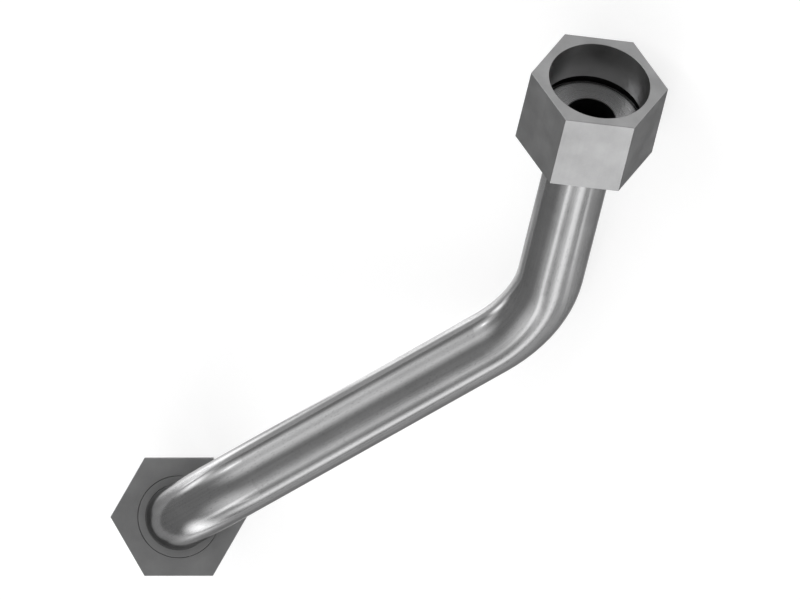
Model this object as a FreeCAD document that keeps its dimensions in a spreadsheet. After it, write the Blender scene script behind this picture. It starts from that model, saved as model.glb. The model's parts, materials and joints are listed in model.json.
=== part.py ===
"""A bent steel hydraulic line with a flat flange, a support sleeve and a union nut at each end.

Millimetres and degrees. The part lies on the plane Z = 0 as it would come to rest, with X along
the long run between its two bends. End A is the end close behind a bend, end B the end with the
long straight leg. A leg's frame has its origin in the centre of the sealing face and its Z axis
pointing out of the tube.
"""
import FreeCAD, Part
import math
import os

import Sketcher
from FreeCAD import Placement, Rotation, Vector

# Driving dimensions: name, value, meaning
SIZES = (
    ("tube_od", 20.0, "outside diameter of the tube"),
    ("tube_wall", 2.5, "wall thickness of the tube"),
    ("bend_radius", 43.0, "centreline radius of both bends"),
    ("leg_a_length", 17.5, "straight from bend A to the sealing face of end A"),
    ("bend_a_angle", 70.0, "turn of bend A"),
    ("run_length", 85.5, "straight between the bends"),
    ("twist", 134.4, "rotation of the tube between bend A and bend B"),
    ("bend_b_angle", 45.8, "turn of bend B"),
    ("leg_b_length", 68.5, "straight from bend B to the sealing face of end B"),
    ("flange_od", 29.6, "diameter of the formed flange"),
    ("flange_thickness", 3.0, "thickness of the formed flange"),
    ("flange_root", 1.0, "fillet between the tube and the back of the flange"),
    ("flange_edge", 0.3, "rounding of the flange's rim"),
    ("mouth_edge", 0.1, "rounding of the tube's mouth"),
    ("sleeve_head", 3.9, "thickness of the sleeve's head"),
    ("sleeve_tail_od", 24.8, "diameter of the sleeve's tail"),
    ("sleeve_root", 0.4, "fillet between the sleeve's tail and its head"),
    ("nut_across_flats", 36.0, "width across the flats of the union nut"),
    ("nut_length", 27.5, "length of the union nut"),
    ("nut_floor", 5.0, "thickness of the nut's rear wall"),
    ("thread_bore", 30.7, "diameter of the nut's thread bore, which is smooth"),
    ("thread_length", 13.9, "length of the thread bore from the open face"),
    ("relief_width", 3.0, "width of the thread relief"),
    ("relief_depth", 0.75, "radial depth of the thread relief"),
    ("nut_a_turn", 29.3, "angle of a corner of nut A from the plane of bend A"),
    ("nut_b_turn", -7.4, "angle of a corner of nut B from the plane of bend B"),
    ("running_gap", 0.05, "radial clearance of the sleeve on the tube"),
    ("swivel_gap", 0.08, "radial clearance of the nut on the sleeve's tail"),
    ("head_gap", 0.3, "radial clearance of the nut round the flange and the sleeve's head"),
    ("seat_gap", 0.05, "axial play at each seat"),
    ("edge_break", 0.1, "chamfer on the edges of the sleeve and the nut"),
)

# A first guess of which way is up for the resting line, in the tube's own frame
UP_GUESS = (-0.4, 0.3, 0.9)
RESTING_STEPS = 40

# Volumes that should agree are this close, in cubic millimetres
VOLUME_TOLERANCE = 0.5

doc = FreeCAD.newDocument("HydraulicTube")
sheet = doc.addObject("Spreadsheet::Sheet", "Sizes")
for row, (alias, value, meaning) in enumerate(SIZES, start=1):
    sheet.set(f"A{row}", meaning)
    sheet.set(f"B{row}", str(value))
    sheet.setAlias(f"B{row}", alias)
doc.recompute()


class Dim:
    """A size worked out from the sheet: its number, and the expression that binds it."""

    def __init__(self, value, text):
        self.value = value
        self.text = text

    def joined(self, sign, other, value):
        text = other.text if isinstance(other, Dim) else repr(other)
        return Dim(value, f"({self.text} {sign} {text})")

    def __add__(self, other):
        return self.joined("+", other, self.value + number(other))

    def __sub__(self, other):
        return self.joined("-", other, self.value - number(other))

    def __mul__(self, other):
        return self.joined("*", other, self.value * number(other))

    def __truediv__(self, other):
        return self.joined("/", other, self.value / number(other))

    def __neg__(self):
        return self * -1


def number(size):
    return size.value if isinstance(size, Dim) else size


def cell(alias):
    return Dim(float(sheet.get(alias)), f"Sizes.{alias}")


tube_radius = cell("tube_od") / 2
bore_radius = tube_radius - cell("tube_wall")
flange_radius = cell("flange_od") / 2
tail_radius = cell("sleeve_tail_od") / 2
thread_radius = cell("thread_bore") / 2
half_run = cell("run_length") / 2

# Distances behind the sealing face, along a leg
sleeve_front = cell("flange_thickness") + cell("seat_gap")
sleeve_shoulder = sleeve_front + cell("sleeve_head")
nut_back = sleeve_shoulder + cell("seat_gap") + cell("nut_floor")


def bind(thing, path, size):
    """Tie a property or a constraint to the sheet."""
    thing.setExpression(path, size.text)


def new_sketch(body, name, role):
    """A sketch on one of the body's own origin planes."""
    sketch = body.newObject("Sketcher::SketchObject", name)
    plane = next(plane for plane in body.Origin.OriginFeatures if plane.Role == role)
    sketch.AttachmentSupport = [(plane, "")]
    sketch.MapMode = "FlatFace"
    return sketch


def constrain(sketch, name, size, kind, *where):
    """A dimension with a name of its own, bound to the sheet."""
    index = sketch.addConstraint(Sketcher.Constraint(kind, *where, size.value))
    sketch.renameConstraint(index, name)
    bind(sketch, f"Constraints.{name}", size)


def add_circle(sketch, name, radius):
    """A circle round the sketch's origin."""
    circle = Part.Circle(Vector(0, 0, 0), Vector(0, 0, 1), radius.value)
    geo = sketch.addGeometry(circle, False)
    sketch.addConstraint(Sketcher.Constraint("Coincident", geo, 3, -1, 1))
    constrain(sketch, name, radius, "Radius", geo)


def add_outline(sketch, points):
    """A closed outline of straight sides. A corner is a pair of sizes, or 0 for on the axis."""
    corners = [Vector(number(x), number(y), 0) for x, y in points]
    following = corners[1:] + corners[:1]
    sides = [sketch.addGeometry(Part.LineSegment(*ends), False) for ends in zip(corners, following)]
    for side, next_side in zip(sides, sides[1:] + sides[:1]):
        sketch.addConstraint(Sketcher.Constraint("Coincident", side, 2, next_side, 1))
    for i, (side, (x, y)) in enumerate(zip(sides, points)):
        for axis, other_axis, size in (("X", -2, x), ("Y", -1, y)):
            if isinstance(size, Dim):
                constrain(sketch, f"corner{i}{axis}", size, f"Distance{axis}", -1, 1, side, 1)
            else:
                sketch.addConstraint(Sketcher.Constraint("PointOnObject", side, 1, other_axis))


def circles(shape, radius, height=None):
    """Names of the edges that are circles of a radius, at a height on Z if one is given."""
    names = []
    for i, edge in enumerate(shape.Edges, start=1):
        if not isinstance(edge.Curve, Part.Circle) or abs(edge.Curve.Radius - radius.value) > 1e-4:
            continue
        if height is None or abs(edge.Curve.Center.z - height.value) < 1e-4:
            names.append(f"Edge{i}")
    return names


def on_flat_face(shape, name):
    """Whether an edge bounds a flat face."""
    edge = shape.getElement(name)
    flats = [face for face in shape.Faces if isinstance(face.Surface, Part.Plane)]
    return any(edge.isSame(other) for face in flats for other in face.Edges)


def dress(body, kind, name, size, edges):
    """A fillet or a chamfer on named edges of the body as it stands."""
    if not edges:
        raise RuntimeError(f"{body.Label}: no edges for {name}")
    base = body.Tip
    feature = body.newObject(f"PartDesign::{kind}", name)
    feature.Base = (base, edges)
    bind(feature, "Radius" if kind == "Fillet" else "Size", size)
    doc.recompute()


def leg_direction(side, bend):
    """Outward direction of an untwisted leg: side is -1 for end A and 1 for end B."""
    angle = math.radians(bend.value)
    return Vector(side * math.cos(angle), 0, -math.sin(angle))


def bend_centre(side):
    """Centre of an untwisted bend, which turns the tube from the run towards -Z."""
    return Vector(side * half_run.value, 0, -cell("bend_radius").value)


def leg_start(side, bend):
    """Where an untwisted bend ends and its leg starts."""
    angle = math.radians(bend.value)
    arm = Vector(side * math.sin(angle), 0, math.cos(angle))
    return bend_centre(side) + arm * cell("bend_radius").value


def in_sketch(point):
    """A point of the XZ plane in that plane's sketch."""
    return Vector(point.x, point.z, 0)


def add_route(body, name, side, bend, leg):
    """Centreline from the middle of the run round one bend to the end of its leg."""
    sketch = new_sketch(body, name, "XZ_Plane")
    start = leg_start(side, bend)
    end = start + leg_direction(side, bend) * leg.value
    circle = Part.Circle(in_sketch(bend_centre(side)), Vector(0, 0, 1), cell("bend_radius").value)
    top = math.pi / 2
    turned = top - side * math.radians(bend.value)
    arc = Part.ArcOfCircle(circle, min(top, turned), max(top, turned))
    bend_start = Vector(side * half_run.value, 0, 0)
    run_line = sketch.addGeometry(Part.LineSegment(Vector(0, 0, 0), bend_start), False)
    bend_arc = sketch.addGeometry(arc, False)
    leg_line = sketch.addGeometry(Part.LineSegment(in_sketch(start), in_sketch(end)), False)
    arc_in, arc_out = (1, 2) if side < 0 else (2, 1)
    for constraint in (
        ("Coincident", run_line, 1, -1, 1),
        ("PointOnObject", run_line, 2, -1),
        ("Tangent", run_line, 2, bend_arc, arc_in),
        ("Tangent", bend_arc, arc_out, leg_line, 1),
    ):
        sketch.addConstraint(Sketcher.Constraint(*constraint))
    constrain(sketch, "half_run", half_run, "Distance", run_line)
    constrain(sketch, "bend_radius", cell("bend_radius"), "Radius", bend_arc)
    constrain(sketch, "bend", bend, "Angle", bend_arc)
    constrain(sketch, "leg", leg, "Distance", leg_line)
    return sketch


def add_flange(body, name, route):
    """The flat flange at the end of a route's leg, with its edges still sharp."""
    sketch = body.newObject("Sketcher::SketchObject", f"{name}_rings")
    sketch.AttachmentSupport = [(route, "Edge3")]
    sketch.MapMode = "NormalToEdge"
    sketch.MapPathParameter = 1
    add_circle(sketch, "rim", flange_radius)
    add_circle(sketch, "mouth", bore_radius)
    doc.recompute()
    bare_volume = body.Tip.Shape.Volume
    flange = body.newObject("PartDesign::Pad", name)
    flange.Profile = sketch
    bind(flange, "Length", cell("flange_thickness"))
    doc.recompute()
    ring_area = math.pi * (flange_radius.value ** 2 - tube_radius.value ** 2)
    ring_volume = ring_area * cell("flange_thickness").value
    if abs(flange.Shape.Volume - bare_volume - ring_volume) > VOLUME_TOLERANCE:
        raise RuntimeError(f"{name}: the flange isn't round the end of the tube")


def make_tube():
    """The bent tube: two pipes that meet in the middle of the run, and a flange on each leg."""
    body = doc.addObject("PartDesign::Body", "Tube")
    body.Label = "tube"
    section = new_sketch(body, "tube_section", "YZ_Plane")
    add_circle(section, "outside", tube_radius)
    add_circle(section, "bore", bore_radius)
    route_a = add_route(body, "route_a", -1, cell("bend_a_angle"), cell("leg_a_length"))
    route_b = add_route(body, "route_b", 1, cell("bend_b_angle"), cell("leg_b_length"))
    route_b.AttachmentOffset = Placement(Vector(), Rotation(Vector(1, 0, 0), cell("twist").value))
    bind(route_b, "AttachmentOffset.Rotation.Angle", cell("twist"))
    doc.recompute()
    for name, route in (("pipe_a", route_a), ("pipe_b", route_b)):
        pipe = body.newObject("PartDesign::AdditivePipe", name)
        pipe.Profile = section
        pipe.Spine = (route, ["Edge1", "Edge2", "Edge3"])
    for name, route in (("flange_a", route_a), ("flange_b", route_b)):
        add_flange(body, name, route)
    doc.recompute()
    sharp = body.Tip.Shape
    roots = [name for name in circles(sharp, tube_radius) if on_flat_face(sharp, name)]
    dress(body, "Fillet", "flange_roots", cell("flange_root"), roots)
    dress(body, "Fillet", "flange_rims", cell("flange_edge"), circles(body.Tip.Shape, flange_radius))
    rimmed = body.Tip.Shape
    mouths = [name for name in circles(rimmed, bore_radius) if on_flat_face(rimmed, name)]
    dress(body, "Fillet", "mouths", cell("mouth_edge"), mouths)
    return body


def make_sleeve(label):
    """A stepped ring: its head backs the flange, its tail ends flush with the nut's back."""
    body = doc.addObject("PartDesign::Body", "Sleeve")
    body.Label = label
    section = new_sketch(body, f"{label}_section", "XZ_Plane")
    bore = tube_radius + cell("running_gap")
    lead = cell("flange_root") + cell("edge_break")
    add_outline(section, (
        (bore, -nut_back),
        (tail_radius, -nut_back),
        (tail_radius, -sleeve_shoulder),
        (flange_radius, -sleeve_shoulder),
        (flange_radius, -sleeve_front),
        (bore + lead, -sleeve_front),
        (bore, -sleeve_front - lead),
    ))
    ring = body.newObject("PartDesign::Revolution", f"{label}_ring")
    ring.Profile = section
    ring.ReferenceAxis = (section, ["V_Axis"])
    doc.recompute()
    root = circles(body.Tip.Shape, tail_radius, -sleeve_shoulder)
    dress(body, "Fillet", f"{label}_root", cell("sleeve_root"), root)
    ring_shape = body.Tip.Shape
    edges = circles(ring_shape, flange_radius)
    edges += circles(ring_shape, tail_radius, -nut_back)
    edges += circles(ring_shape, bore, -nut_back)
    dress(body, "Chamfer", f"{label}_edges", cell("edge_break"), edges)
    return body


def level_edges(shape):
    """Names of the straight edges that lie level, which bound a prism's two end faces."""
    names = []
    for i, edge in enumerate(shape.Edges, start=1):
        heights = [vertex.Point.z for vertex in edge.Vertexes]
        if max(heights) - min(heights) < 1e-6:
            names.append(f"Edge{i}")
    return names


def make_nut(label):
    """A hexagon union nut: thread bore, relief, pocket for flange and sleeve, rear bore."""
    body = doc.addObject("PartDesign::Body", "Nut")
    body.Label = label
    half_flats = cell("nut_across_flats") / 2
    corner = cell("nut_across_flats") / math.sqrt(3)
    hexagon = new_sketch(body, f"{label}_hexagon", "XY_Plane")
    add_outline(hexagon, (
        (corner, 0),
        (corner / 2, half_flats),
        (-corner / 2, half_flats),
        (-corner, 0),
        (-corner / 2, -half_flats),
        (corner / 2, -half_flats),
    ))
    prism = body.newObject("PartDesign::Pad", f"{label}_prism")
    prism.Profile = hexagon
    bind(prism, "Length", cell("nut_length"))
    doc.recompute()
    prism_volume = body.Tip.Shape.Volume
    dress(body, "Chamfer", f"{label}_rims", cell("edge_break"), level_edges(body.Tip.Shape))

    rear_radius = tail_radius + cell("swivel_gap")
    pocket_radius = flange_radius + cell("head_gap")
    relief_radius = thread_radius + cell("relief_depth")
    relief_top = cell("nut_length") - cell("thread_length")
    relief_floor = relief_top - cell("relief_width")
    relief_lead = relief_radius - pocket_radius
    seat_lead = cell("sleeve_root") + cell("edge_break")
    past = cell("nut_floor")
    cavity = new_sketch(body, f"{label}_cavity", "XZ_Plane")
    add_outline(cavity, (
        (0, -past),
        (rear_radius, -past),
        (rear_radius, cell("nut_floor") - seat_lead),
        (rear_radius + seat_lead, cell("nut_floor")),
        (pocket_radius, cell("nut_floor")),
        (pocket_radius, relief_floor - relief_lead),
        (relief_radius, relief_floor),
        (relief_radius, relief_top),
        (thread_radius, relief_top),
        (thread_radius, cell("nut_length") + past),
        (0, cell("nut_length") + past),
    ))
    groove = body.newObject("PartDesign::Groove", f"{label}_bore")
    groove.Profile = cavity
    groove.ReferenceAxis = (cavity, ["V_Axis"])
    doc.recompute()
    rear_cylinder = math.pi * rear_radius.value ** 2 * cell("nut_length").value
    if body.Tip.Shape.Volume > prism_volume - rear_cylinder:
        raise RuntimeError(f"{label}: the bore is not cut through")
    bored = body.Tip.Shape
    mouths = [name for name in circles(bored, rear_radius) + circles(bored, thread_radius)
              if on_flat_face(bored, name) and on_end_face(bored, name)]
    dress(body, "Chamfer", f"{label}_mouths", cell("edge_break"), mouths)
    return body


def on_end_face(shape, name):
    """Whether an edge lies in the top or the bottom plane of a shape."""
    box = shape.BoundBox
    height = shape.getElement(name).Curve.Center.z
    return min(abs(height - box.ZMin), abs(height - box.ZMax)) < 1e-3


def leg_frame(side, bend, leg, twist):
    """A leg's frame in the tube's: Z out of the tube, X across it, towards the run's far end."""
    turn = Rotation(Vector(1, 0, 0), twist)
    outward = leg_direction(side, bend)
    face = leg_start(side, bend) + outward * leg.value
    to_far_end = Vector(-side, 0, 0)
    return Placement(turn.multVec(face), turn * Rotation(to_far_end, Vector(), outward, "ZXY"))


def nut_place(leg, turn):
    """A nut's place on a leg, with one corner turned from the plane of the bend."""
    return leg * Placement(Vector(0, 0, -nut_back.value), Rotation(Vector(0, 0, 1), turn.value))


def low_point_of_bend(side, twist, up):
    """The lowest point of the tube's outside at a bend."""
    turn = Rotation(Vector(1, 0, 0), twist)
    across = turn.multVec(Vector(0, 1, 0))
    down = -up
    in_plane = (down - across * down.dot(across)).normalize()
    centre = turn.multVec(bend_centre(side))
    return centre + in_plane * cell("bend_radius").value + down * tube_radius.value


def resting_up(corners_a, corners_b, twist):
    """Which way is up, in the tube's frame, on the feet at nut A, nut B and bend B."""
    up = Vector(*UP_GUESS).normalize()
    for _ in range(RESTING_STEPS):
        foot_a = min(corners_a, key=up.dot)
        foot_b = min(corners_b, key=up.dot)
        foot_bend = low_point_of_bend(1, twist, up)
        normal = (foot_b - foot_a).cross(foot_bend - foot_a).normalize()
        up = normal if normal.dot(up) > 0 else -normal
    return up


def corners_in_place(body, place):
    return [place.multVec(vertex.Point) for vertex in body.Shape.Vertexes]


def whole_box(bodies):
    box = FreeCAD.BoundBox()
    for body in bodies:
        box.add(body.Shape.optimalBoundingBox(False, False))
    return box


def check_and_write(bodies):
    """Stop at anything that failed, then write one file for each sub-part."""
    for thing in doc.Objects:
        bad = [state for state in thing.State if state in ("Invalid", "Error")]
        if bad:
            raise RuntimeError(f"{thing.Label}: {bad}")
    for body in bodies:
        shape = body.Shape
        if shape.isNull() or not shape.isValid() or len(shape.Solids) != 1:
            raise RuntimeError(f"{body.Label}: not one valid solid")
    os.makedirs("parts", exist_ok=True)
    for body in bodies:
        body.Shape.exportStep(f"parts/{body.Label}.step")
        print(f"{body.Label}: {body.Shape.Volume:.1f} mm3")


tube = make_tube()
sleeve_a = make_sleeve("support_sleeve_a")
sleeve_b = make_sleeve("support_sleeve_b")
nut_a = make_nut("union_nut_a")
nut_b = make_nut("union_nut_b")

twist = cell("twist").value
leg_a = leg_frame(-1, cell("bend_a_angle"), cell("leg_a_length"), 0)
leg_b = leg_frame(1, cell("bend_b_angle"), cell("leg_b_length"), twist)
nut_a_place = nut_place(leg_a, cell("nut_a_turn"))
nut_b_place = nut_place(leg_b, cell("nut_b_turn"))

up = resting_up(corners_in_place(nut_a, nut_a_place), corners_in_place(nut_b, nut_b_place), twist)
lay = Placement(Vector(), Rotation(Vector(1, 0, 0), Vector(), up, "ZXY").inverted())
places = (
    (tube, Placement()),
    (sleeve_a, leg_a),
    (sleeve_b, leg_b),
    (nut_a, nut_a_place),
    (nut_b, nut_b_place),
)
bodies = [body for body, _ in places]
for body, place in places:
    body.Placement = lay * place
doc.recompute()
box = whole_box(bodies)
lay.Base = Vector(-box.Center.x, -box.Center.y, -box.ZMin)
for body, place in places:
    body.Placement = lay * place
doc.recompute()
check_and_write(bodies)
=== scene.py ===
"""Looks of the hydraulic tube: drawn, turned and satin steel, a white floor, lamps and a camera."""
import json
import math

import bpy
from mathutils import Matrix, Vector


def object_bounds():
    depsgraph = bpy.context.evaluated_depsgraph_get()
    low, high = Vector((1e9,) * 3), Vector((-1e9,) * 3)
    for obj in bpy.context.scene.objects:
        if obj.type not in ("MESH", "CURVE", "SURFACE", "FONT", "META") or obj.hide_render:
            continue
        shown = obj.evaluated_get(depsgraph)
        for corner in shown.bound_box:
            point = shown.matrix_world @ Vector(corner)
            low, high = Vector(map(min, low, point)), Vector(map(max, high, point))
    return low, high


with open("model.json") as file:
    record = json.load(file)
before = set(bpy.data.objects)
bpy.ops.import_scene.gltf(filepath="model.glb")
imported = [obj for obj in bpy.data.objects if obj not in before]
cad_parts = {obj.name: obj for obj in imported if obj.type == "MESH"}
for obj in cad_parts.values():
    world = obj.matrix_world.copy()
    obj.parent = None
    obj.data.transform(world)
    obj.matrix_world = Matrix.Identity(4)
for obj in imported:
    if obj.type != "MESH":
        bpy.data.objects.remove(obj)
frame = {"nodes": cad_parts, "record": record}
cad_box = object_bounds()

nodes = frame["nodes"]
mounts = {mount["name"]: mount for mount in frame["record"]["mounts"]}
scene = bpy.context.scene
scene.view_settings.view_transform = "Standard"

# Sizes of the line that the record doesn't hold, in metres
BEND_RADIUS = 0.043
NUT_LENGTH = 0.0275
EDGE_BREAK = 0.0001


def mount_axis(name):
    return Vector(mounts[name]["axis"]).normalized()


def mount_place(name):
    return Vector(mounts[name]["pos_m"])


def half_thread(name):
    """Half the length of a thread, in metres."""
    return mounts[name]["dims"]["length_mm"] / 2000


# Camera: it looks along leg A, from behind nut A and from far away
RUN_SLOPE = math.radians(29.34)
PICTURE_MIDDLE = (0.06733, 0.06597)
CAMERA_DISTANCE = 8.610
LENS = 1273.5
SENSOR_WIDTH = 36.0
CLIP_START = 1.0
CLIP_END = 100.0


def nut_a_back():
    """Middle of the back of nut A, on the axis of leg A."""
    axis = mount_axis("thread_a")
    open_face = mount_place("thread_a") + axis * (half_thread("thread_a") + EDGE_BREAK)
    return open_face - axis * NUT_LENGTH


def add_camera():
    """The picture's middle is given from the middle of nut A's back, right and up."""
    back = -mount_axis("thread_a")
    run = mount_axis("clamp_seat")
    run_in_picture = (run - back * run.dot(back)).normalized()
    right = Matrix.Rotation(-RUN_SLOPE, 3, back) @ run_in_picture
    up = back.cross(right)
    data = bpy.data.cameras.new("camera")
    data.lens = LENS
    data.sensor_width = SENSOR_WIDTH
    data.clip_start = CLIP_START
    data.clip_end = CLIP_END
    camera = bpy.data.objects.new("camera", data)
    scene.collection.objects.link(camera)
    middle = nut_a_back() + right * PICTURE_MIDDLE[0] + up * PICTURE_MIDDLE[1]
    place = Matrix((right, up, back)).transposed().to_4x4()
    place.translation = middle + back * CAMERA_DISTANCE
    camera.matrix_world = place
    scene.camera = camera


NOISE_RANGE = (0.3, 0.7)


class Nodes:
    """Short calls for adding shader nodes. A value may be a number, a vector or a socket."""

    def __init__(self, tree):
        self.tree = tree
        tree.nodes.clear()

    def add(self, kind, **settings):
        node = self.tree.nodes.new(kind)
        for name, value in settings.items():
            setattr(node, name, value)
        return node

    def link(self, out, into):
        self.tree.links.new(out, into)

    def put(self, socket, value):
        if isinstance(value, bpy.types.NodeSocket):
            self.link(value, socket)
        else:
            socket.default_value = value

    def math(self, operation, *values):
        node = self.add("ShaderNodeMath", operation=operation)
        for socket, value in zip(node.inputs, values):
            self.put(socket, value)
        return node.outputs[0]

    def vector_math(self, operation, *values):
        node = self.add("ShaderNodeVectorMath", operation=operation)
        for socket, value in zip(node.inputs, values):
            self.put(socket, value)
        return node.outputs["Value" if operation in ("DOT_PRODUCT", "LENGTH") else "Vector"]

    def dot(self, a, b):
        return self.vector_math("DOT_PRODUCT", a, b)

    def combine(self, x, y, z):
        node = self.add("ShaderNodeCombineXYZ")
        for socket, value in zip(node.inputs, (x, y, z)):
            self.put(socket, value)
        return node.outputs[0]

    def pick(self, choice, if_zero, if_one):
        """One of two numbers, or a blend of them."""
        node = self.add("ShaderNodeMix", data_type="FLOAT")
        self.put(node.inputs["Factor"], choice)
        self.put(node.inputs["A"], if_zero)
        self.put(node.inputs["B"], if_one)
        return node.outputs["Result"]

    def span(self, value, low, high, to_low, to_high, smooth=False):
        """A value brought from one range to another, and held at its ends."""
        kind = "SMOOTHSTEP" if smooth else "LINEAR"
        node = self.add("ShaderNodeMapRange", interpolation_type=kind)
        for socket, number in zip(node.inputs, (value, low, high, to_low, to_high)):
            self.put(socket, number)
        return node.outputs["Result"]

    def noise(self, place, scale, detail=2.0, roughness=0.5):
        node = self.add("ShaderNodeTexNoise")
        self.put(node.inputs["Vector"], place)
        self.put(node.inputs["Scale"], scale)
        self.put(node.inputs["Detail"], detail)
        self.put(node.inputs["Roughness"], roughness)
        return node.outputs[0]

    def vary(self, noise, low, high):
        """A range of values for a noise, whose own values mostly lie in NOISE_RANGE."""
        return self.span(noise, *NOISE_RANGE, low, high)

    def along(self, axis, distance):
        """A step along an axis, for a distance that is a socket."""
        return self.vector_math("MULTIPLY", self.combine(distance, distance, distance), axis)

    def grey(self, level, tint):
        """A nearly neutral colour from a level."""
        node = self.add("ShaderNodeCombineColor")
        for socket, part in zip(node.inputs, tint):
            self.put(socket, self.math("MULTIPLY", level, part))
        return node.outputs[0]

    def bump(self, height, depth, before=None):
        """Relief of a depth in metres, for a height from 0 to 1."""
        node = self.add("ShaderNodeBump")
        self.put(node.inputs["Strength"], 1.0)
        self.put(node.inputs["Distance"], depth)
        self.put(node.inputs["Height"], height)
        if before is not None:
            self.link(before, node.inputs["Normal"])
        return node.outputs[0]


def new_material(name):
    material = bpy.data.materials.new(name)
    material.use_nodes = True
    return material, Nodes(material.node_tree)


def steel(n, edge_tint):
    """A metal shader. The edge tint dims its reflections where the view grazes it."""
    out = n.add("ShaderNodeOutputMaterial")
    shader = n.add("ShaderNodeBsdfPrincipled")
    n.link(shader.outputs["BSDF"], out.inputs["Surface"])
    shader.inputs["Metallic"].default_value = 1.0
    shader.inputs["Specular Tint"].default_value = (edge_tint, edge_tint, edge_tint, 1)
    return shader


def dress(node, material):
    for slot in nodes[node].material_slots:
        slot.material = material


# Steel levels, linear, and what its colour leans to
TUBE_LEVEL = 0.255
FLANGE_LEVEL = 0.43
# Painted shade: the dark colour inside the tube and in the relief groove of a nut
PAINTED_SHADE_LEVEL = 0.10
NUT_LEVEL = 0.305
# Painted light: the bore of a nut is coloured lighter than the rest of the nut
PAINTED_LIGHT_BORE_LEVEL = 0.44
STEEL_TINT = (1.0, 1.0, 1.006)
TUBE_EDGE_TINT = 0.38
NUT_EDGE_TINT = 0.28

# Roughness of each finish, how far clouds and grain shift it, and what the inside of a nut adds
TUBE_ROUGHNESS = (0.14, 0.19)
FLANGE_ROUGHNESS = (0.24, 0.32)
NUT_ROUGHNESS = (0.29, 0.35)
INNER_ROUGHNESS = 0.45
ROUGHNESS_SHIFT = (-0.02, 0.02)
BORE_EXTRA_ROUGHNESS = 0.08

# Noise of each kind of surface mark, as its scale per metre
LINE_SCALE = 1400.0
BAND_SCALE = 420.0
WAVE_SCALE = 170.0
CLOUD_SCALE = 90.0
PIT_SCALE = 2600.0
RING_SCALE = 3600.0
NUT_LINE_SCALE = 1500.0
NUT_CLOUD_SCALE = 130.0
NUT_PATCH_SCALE = 60.0

# How much shorter the noise sees the length, so that its marks are drawn out along it
LINE_STRETCH = 0.012
BAND_STRETCH = 0.06
WAVE_STRETCH = 0.30
PIT_STRETCH = 0.5
NUT_LINE_STRETCH = 0.03

# What each kind of mark multiplies the level by, and the noise values that make a pit
LINE_SHADE = (0.90, 1.10)
CLOUD_SHADE = (0.94, 1.06)
RING_SHADE = (0.94, 1.06)
PIT_SHADE = (0.80, 1.0)
PIT_RANGE = (0.30, 0.40)
NUT_LINE_SHADE = (0.98, 1.02)
NUT_CLOUD_SHADE = (0.91, 1.09)
NUT_PATCH_SHADE = (0.94, 1.06)

# Relief of the marks, in metres
WAVE_DEPTH = 2.6e-5
LINE_DEPTH = 1.6e-6
NUT_GRAIN_DEPTH = 1.2e-6

# How far a nut's face looks along its axis where flats end and turned ends begin
END_FACING = (0.6, 0.8)

# Where the flange and the inside of a nut are, in metres
FLANGE_DEPTH = 0.00315
INNER_WALL = 0.0078
NUT_FLATS_RADIUS = 0.0165
NUT_INSIDE_RADIUS = 0.0162
NUT_GROOVE_RADIUS = 0.0155
NUT_FLOOR_HEIGHT = -0.0152


class Bend:
    """A bend in the plane of the run and one leg, with its arc starting at the run's end."""

    def __init__(self, leg_mount, run_direction):
        leg = mount_axis(leg_mount)
        middle = mount_place("clamp_seat")
        across = (leg - run_direction * leg.dot(run_direction)).normalized()
        turn = run_direction.angle(leg)
        reach = (mount_place(leg_mount) - middle).dot(across) / math.sin(turn)
        corner = mount_place(leg_mount) - leg * reach
        arc_start = corner - run_direction * BEND_RADIUS * math.tan(turn / 2)
        self.turn = turn
        self.centre = arc_start + across * BEND_RADIUS
        self.out = -across
        self.ahead = run_direction
        self.normal = self.out.cross(self.ahead)
        self.half_run = (arc_start - middle).dot(run_direction)


def beside_bend(n, place, bend):
    """Where a point lies in the tube round a bend: across the centreline, and along it."""
    from_centre = n.vector_math("SUBTRACT", place, bend.centre)
    out = n.dot(from_centre, bend.out)
    ahead = n.dot(from_centre, bend.ahead)
    angle = n.math("MINIMUM", n.math("MAXIMUM", n.math("ARCTAN2", ahead, out), 0.0), bend.turn)
    cosine = n.math("COSINE", angle)
    sine = n.math("SINE", angle)
    radial = n.math("ADD", n.math("MULTIPLY", out, cosine), n.math("MULTIPLY", ahead, sine))
    past = n.math("SUBTRACT", n.math("MULTIPLY", ahead, cosine), n.math("MULTIPLY", out, sine))
    outward = n.math("SUBTRACT", radial, BEND_RADIUS)
    sideways = n.dot(from_centre, bend.normal)
    along = n.math("MULTIPLY_ADD", angle, BEND_RADIUS, n.math("ADD", past, bend.half_run))
    return outward, sideways, along


def tube_coordinates(n):
    """Two coordinates across the tube and one along it, in metres, from the middle of the run."""
    place = n.add("ShaderNodeTexCoord").outputs["Object"]
    run = mount_axis("clamp_seat")
    bend_a = Bend("thread_a", -run)
    bend_b = Bend("thread_b", run)
    x_a, y_a, along_a = beside_bend(n, place, bend_a)
    out_b, side_b, along_b = beside_bend(n, place, bend_b)
    x_b = n.math("ADD", n.math("MULTIPLY", out_b, bend_b.out.dot(bend_a.out)),
                 n.math("MULTIPLY", side_b, bend_b.normal.dot(bend_a.out)))
    y_b = n.math("ADD", n.math("MULTIPLY", out_b, bend_b.out.dot(bend_a.normal)),
                 n.math("MULTIPLY", side_b, bend_b.normal.dot(bend_a.normal)))
    from_middle = n.vector_math("SUBTRACT", place, mount_place("clamp_seat"))
    on_b = n.math("GREATER_THAN", n.dot(from_middle, run), 0.0)
    x = n.pick(on_b, x_a, x_b)
    y = n.pick(on_b, y_a, y_b)
    along = n.pick(on_b, n.math("MULTIPLY", along_a, -1.0), along_b)
    return x, y, along


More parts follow.
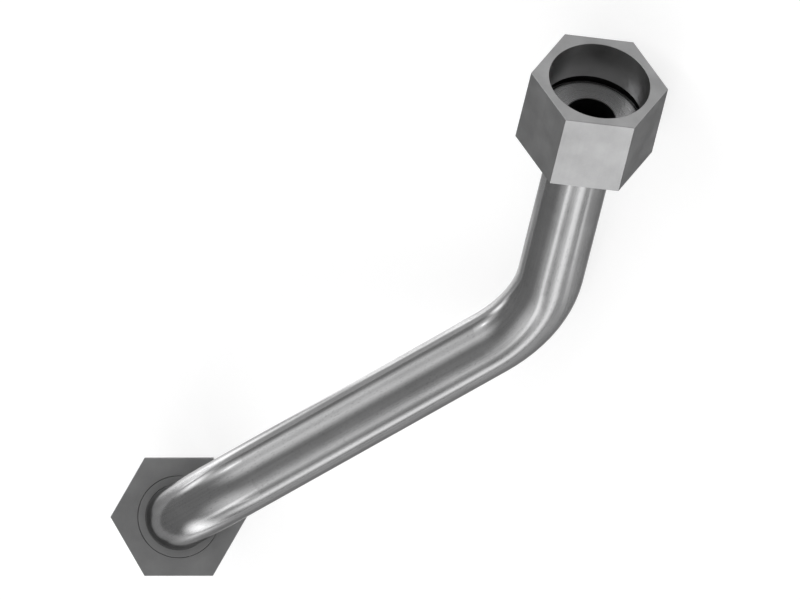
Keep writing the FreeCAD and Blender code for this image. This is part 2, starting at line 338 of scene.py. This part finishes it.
def make_tube_steel():
    """Drawn steel with fine lines and soft waves along it, a turned flange, and a rough bore whose
    dark colour is painted shade.
    """
    material, n = new_material("tube_steel")
    shader = steel(n, TUBE_EDGE_TINT)
    x, y, along = tube_coordinates(n)
    radius = n.vector_math("LENGTH", n.combine(x, y, 0.0))
    place = n.add("ShaderNodeTexCoord").outputs["Object"]
    past_face = [n.dot(n.vector_math("SUBTRACT", place, mount_place(face)), mount_axis(face))
                 for face in ("seal_face_a", "seal_face_b")]
    on_flange = n.math("GREATER_THAN", n.math("MAXIMUM", *past_face), -FLANGE_DEPTH)
    painted_shade_bore = n.math("LESS_THAN", radius, INNER_WALL)

    def stretched(factor):
        return n.combine(x, y, n.math("MULTIPLY", along, factor))

    lines = n.noise(stretched(LINE_STRETCH), LINE_SCALE, detail=3.0)
    bands = n.noise(stretched(BAND_STRETCH), BAND_SCALE)
    waves = n.noise(stretched(WAVE_STRETCH), WAVE_SCALE)
    clouds = n.noise(n.combine(x, y, along), CLOUD_SCALE, detail=4.0, roughness=0.6)
    pits = n.noise(stretched(PIT_STRETCH), PIT_SCALE)
    rings = n.noise(n.combine(radius, 0.0, 0.0), RING_SCALE)

    grain = n.math("ADD", n.math("MULTIPLY", lines, 0.5), n.math("MULTIPLY", bands, 0.5))
    drawn = n.math("MULTIPLY", n.vary(grain, *LINE_SHADE), n.vary(clouds, *CLOUD_SHADE))
    drawn = n.math("MULTIPLY", drawn, n.span(pits, *PIT_RANGE, *PIT_SHADE))
    turned = n.math("MULTIPLY", n.vary(rings, *RING_SHADE), FLANGE_LEVEL)
    level = n.pick(on_flange, n.math("MULTIPLY", drawn, TUBE_LEVEL), turned)
    # Painted shade: the inside of the tube is coloured dark
    level = n.pick(painted_shade_bore, level, PAINTED_SHADE_LEVEL)
    n.link(n.grey(level, STEEL_TINT), shader.inputs["Base Color"])

    shift = n.vary(clouds, *ROUGHNESS_SHIFT)
    roughness = n.math("ADD", n.vary(grain, *TUBE_ROUGHNESS), shift)
    roughness = n.pick(on_flange, roughness, n.vary(rings, *FLANGE_ROUGHNESS))
    n.link(n.pick(painted_shade_bore, roughness, INNER_ROUGHNESS), shader.inputs["Roughness"])

    soft = n.bump(n.pick(on_flange, waves, 0.5), WAVE_DEPTH)
    fine = n.bump(n.pick(on_flange, grain, rings), LINE_DEPTH, soft)
    n.link(fine, shader.inputs["Normal"])
    return material


def turned_coordinates(n, mount):
    """Radius and height of a point about a mount's axis, and how far its face looks along it."""
    coordinates = n.add("ShaderNodeTexCoord")
    place = n.vector_math("SUBTRACT", coordinates.outputs["Object"], mount_place(mount))
    axis = mount_axis(mount)
    height = n.dot(place, axis)
    beside = n.vector_math("SUBTRACT", place, n.along(axis, height))
    radius = n.vector_math("LENGTH", beside)
    facing = n.math("ABSOLUTE", n.dot(coordinates.outputs["Normal"], axis))
    return place, beside, radius, height, facing


def make_bar_steel(name, mount, is_nut):
    """Satin bar: turned rings on its ends and round faces, cloudy drawn flats, and inside a nut a
    bore lightened by painted light and a groove darkened by painted shade.
    """
    material, n = new_material(name)
    shader = steel(n, NUT_EDGE_TINT)
    place, beside, radius, height, facing = turned_coordinates(n, mount)
    on_end = n.span(facing, *END_FACING, 0.0, 1.0)
    on_flat = n.math("GREATER_THAN", radius, NUT_FLATS_RADIUS)

    turned_at = n.pick(on_end, height, radius)
    rings = n.noise(n.combine(turned_at, 0.0, 0.0), RING_SCALE)
    squeezed = n.vector_math("ADD", beside, n.along(mount_axis(mount) * NUT_LINE_STRETCH, height))
    lines = n.noise(squeezed, NUT_LINE_SCALE)
    clouds = n.noise(place, NUT_CLOUD_SCALE, detail=5.0, roughness=0.6)
    patches = n.noise(place, NUT_PATCH_SCALE)
    flat_grain = n.math("MULTIPLY", on_flat, n.math("SUBTRACT", 1.0, on_end))
    grain = n.pick(flat_grain, rings, lines)

    shade = n.math("MULTIPLY", n.vary(clouds, *NUT_CLOUD_SHADE), n.vary(patches, *NUT_PATCH_SHADE))
    shade = n.math("MULTIPLY", shade, n.vary(grain, *NUT_LINE_SHADE))
    level = NUT_LEVEL
    shift = n.vary(grain, *ROUGHNESS_SHIFT)
    roughness = n.math("ADD", n.vary(clouds, *NUT_ROUGHNESS), shift)
    if is_nut:
        inside = n.math("MULTIPLY", n.math("LESS_THAN", radius, NUT_INSIDE_RADIUS),
                        n.math("LESS_THAN", height, half_thread(mount)))
        inside = n.math("MULTIPLY", inside, n.math("GREATER_THAN", height, NUT_FLOOR_HEIGHT))
        painted_shade_groove = n.math("GREATER_THAN", radius, NUT_GROOVE_RADIUS)
        # Inside a nut: painted light makes the bore wall lighter, painted shade makes the relief
        # groove dark
        level = n.pick(inside, level, n.pick(painted_shade_groove, PAINTED_LIGHT_BORE_LEVEL, PAINTED_SHADE_LEVEL))
        rougher = n.math("ADD", roughness, BORE_EXTRA_ROUGHNESS)
        roughness = n.pick(inside, roughness, rougher)
    n.link(n.grey(n.math("MULTIPLY", shade, level), STEEL_TINT), shader.inputs["Base Color"])
    n.link(roughness, shader.inputs["Roughness"])
    n.link(n.bump(grain, NUT_GRAIN_DEPTH), shader.inputs["Normal"])
    return material


def dress_line():
    dress("tube", make_tube_steel())
    for end in "ab":
        thread = f"thread_{end}"
        dress(f"union_nut_{end}", make_bar_steel(f"nut_steel_{end}", thread, True))
        dress(f"support_sleeve_{end}", make_bar_steel(f"sleeve_steel_{end}", thread, False))


# Floor, world and lamps
FLOOR_SIDE = 5.0
FLOOR_LEVEL = 0.40
FLOOR_GLOW = 0.70
FLOOR_ROUGHNESS = 0.7
WORLD = 0.46
SOFTBOX_DISTANCE = 1.5
# Each softbox: azimuth and elevation of its middle, width, height and roll, all in degrees,
# and strength
SOFTBOXES = {
    "left": (-142, 8, 28, 60, 24, 4.4),
    "left_high": (-122, 52, 69, 60, -4, 1.3),
    "left_streak": (-125, 38, 53, 15, 34, 2.4),
    "front_streak": (-113, 31, 30, 8, -40, 1.8),
    "front": (-105, 13, 71, 30, -10, 2.6),
    "front_high": (-77, 38, 49, 33, -60, 1.5),
    "right": (-49, 13, 75, 34, -15, 3.2),
    "back_high": (99, 52, 55, 48, -54, 1.5),
    "back": (113, 23, 54, 32, -30, 1.9),
    "back_low": (136, 4, 24, 28, 60, 4.3),
    "back_spot": (114, 24, 12, 10, 0, 4.0),
    "bore_spot": (73, 27, 24, 22, 0, 7.5),
    "above": (-65, 83, 50, 44, 0, 0.16),
}
# Each low strip lamp on the floor: x and y of its middle, length and width, all in mm, turn in
# degrees, strength, and whether a grid keeps its light from leaving at a flat angle
FLOOR_STRIPS = {
    "behind_run": (-43, 24, 260, 76, -19, 4.6, True),
    "under_run": (-50, 3, 230, 44, -11, 4.0, True),
    "behind_bend_a": (-175, 86, 260, 136, -39, 10.0, True),
    "far_behind_bend_a": (-290, 200, 400, 110, -43, 5.0, False),
    "behind_bend_b": (6, 11, 56, 36, -18, 6.5, True),
    "beside_bend_a": (-330, -230, 420, 170, 37, 2.6, False),
    "before_leg_b": (68, -110, 160, 64, -80, 1.3, False),
}
STRIP_HEIGHT = 0.0005
# Where the grid shuts and where it is open, as one minus the cosine of the angle from straight up
STRIP_GRID = (0.82, 0.47)


def plane(name, width, height):
    """A flat sheet with UVs, which is part of the studio and not of the object."""
    x, y = width / 2, height / 2
    mesh = bpy.data.meshes.new(name)
    mesh.from_pydata([(-x, -y, 0), (x, -y, 0), (x, y, 0), (-x, y, 0)], [], [(0, 1, 2, 3)])
    mesh.uv_layers.new(name="UVMap")
    for loop, uv in zip(mesh.uv_layers[0].data, ((0, 0), (1, 0), (1, 1), (0, 1))):
        loop.uv = uv
    thing = bpy.data.objects.new(name, mesh)
    scene.collection.objects.link(thing)
    return thing


def add_floor():
    """A white floor that takes the object's shadow and is seen white in the steel too."""
    floor = plane("floor", FLOOR_SIDE, FLOOR_SIDE)
    material, n = new_material("floor_white")
    out = n.add("ShaderNodeOutputMaterial")
    shader = n.add("ShaderNodeBsdfPrincipled")
    n.link(shader.outputs["BSDF"], out.inputs["Surface"])
    shader.inputs["Base Color"].default_value = (FLOOR_LEVEL, FLOOR_LEVEL, FLOOR_LEVEL, 1)
    shader.inputs["Roughness"].default_value = FLOOR_ROUGHNESS
    shader.inputs["Specular IOR Level"].default_value = 0.0
    path = n.add("ShaderNodeLightPath")
    seen = n.math("MAXIMUM", path.outputs["Is Camera Ray"], path.outputs["Is Glossy Ray"])
    seen = n.math("MAXIMUM", seen, path.outputs["Is Transmission Ray"])
    shader.inputs["Emission Color"].default_value = (1, 1, 1, 1)
    n.link(n.math("MULTIPLY", seen, FLOOR_GLOW), shader.inputs["Emission Strength"])
    floor.data.materials.append(material)


def add_world():
    world = bpy.data.worlds.new("studio")
    scene.world = world
    world.use_nodes = True
    n = Nodes(world.node_tree)
    out = n.add("ShaderNodeOutputWorld")
    background = n.add("ShaderNodeBackground")
    background.inputs["Color"].default_value = (WORLD, WORLD, WORLD, 1)
    n.link(background.outputs[0], out.inputs["Surface"])


def softbox_material(name, strength, grid=None):
    """Light that fades to the edges of the sheet. A grid also holds back what leaves it flat."""
    material, n = new_material(name)
    out = n.add("ShaderNodeOutputMaterial")
    split = n.add("ShaderNodeSeparateXYZ")
    n.link(n.add("ShaderNodeUVMap").outputs["UV"], split.inputs[0])
    glow = strength
    for axis in "XY":
        off_middle = n.math("ABSOLUTE", n.math("SUBTRACT", split.outputs[axis], 0.5))
        glow = n.math("MULTIPLY", n.span(off_middle, 0.5, 0.0, 0.0, 1.0, smooth=True), glow)
    if grid:
        flatness = n.add("ShaderNodeLayerWeight").outputs["Facing"]
        glow = n.math("MULTIPLY", n.span(flatness, *grid, 0.0, 1.0, smooth=True), glow)
    light = n.add("ShaderNodeEmission")
    n.link(glow, light.inputs["Strength"])
    clear = n.add("ShaderNodeBsdfTransparent")
    both = n.add("ShaderNodeAddShader")
    n.link(light.outputs[0], both.inputs[0])
    n.link(clear.outputs[0], both.inputs[1])
    n.link(both.outputs[0], out.inputs["Surface"])
    return material


def add_softbox(name, azimuth, elevation, wide, high, roll, strength):
    """A softbox that faces the object, and that the camera doesn't see."""
    low, top = cad_box
    target = (low + top) / 2
    around, above = math.radians(azimuth), math.radians(elevation)
    direction = Vector((math.cos(around) * math.cos(above), math.sin(around) * math.cos(above),
                        math.sin(above)))
    width, height = (2 * SOFTBOX_DISTANCE * math.tan(math.radians(angle / 2))
                     for angle in (wide, high))
    box = plane(f"softbox_{name}", width, height)
    right = Vector((0, 0, 1)).cross(direction).normalized()
    up = direction.cross(right)
    place = Matrix((right, up, direction)).transposed().to_4x4()
    place.translation = target + direction * SOFTBOX_DISTANCE
    box.matrix_world = place @ Matrix.Rotation(math.radians(roll), 4, "Z")
    box.visible_camera = False
    box.visible_shadow = False
    box.data.materials.append(softbox_material(f"softbox_{name}", strength))


def add_floor_strip(name, x, y, length, width, turn, strength, has_grid):
    """A low lamp that only shows in the steel, as the white rims of the photo do."""
    strip = plane(f"strip_{name}", length / 1000, width / 1000)
    strip.location = (x / 1000, y / 1000, STRIP_HEIGHT)
    strip.rotation_euler.z = math.radians(turn)
    strip.visible_camera = False
    strip.visible_diffuse = False
    strip.visible_shadow = False
    grid = STRIP_GRID if has_grid else None
    strip.data.materials.append(softbox_material(f"strip_{name}", strength, grid))


add_camera()
dress_line()
add_floor()
add_world()
for name, settings in SOFTBOXES.items():
    add_softbox(name, *settings)
for name, settings in FLOOR_STRIPS.items():
    add_floor_strip(name, *settings)
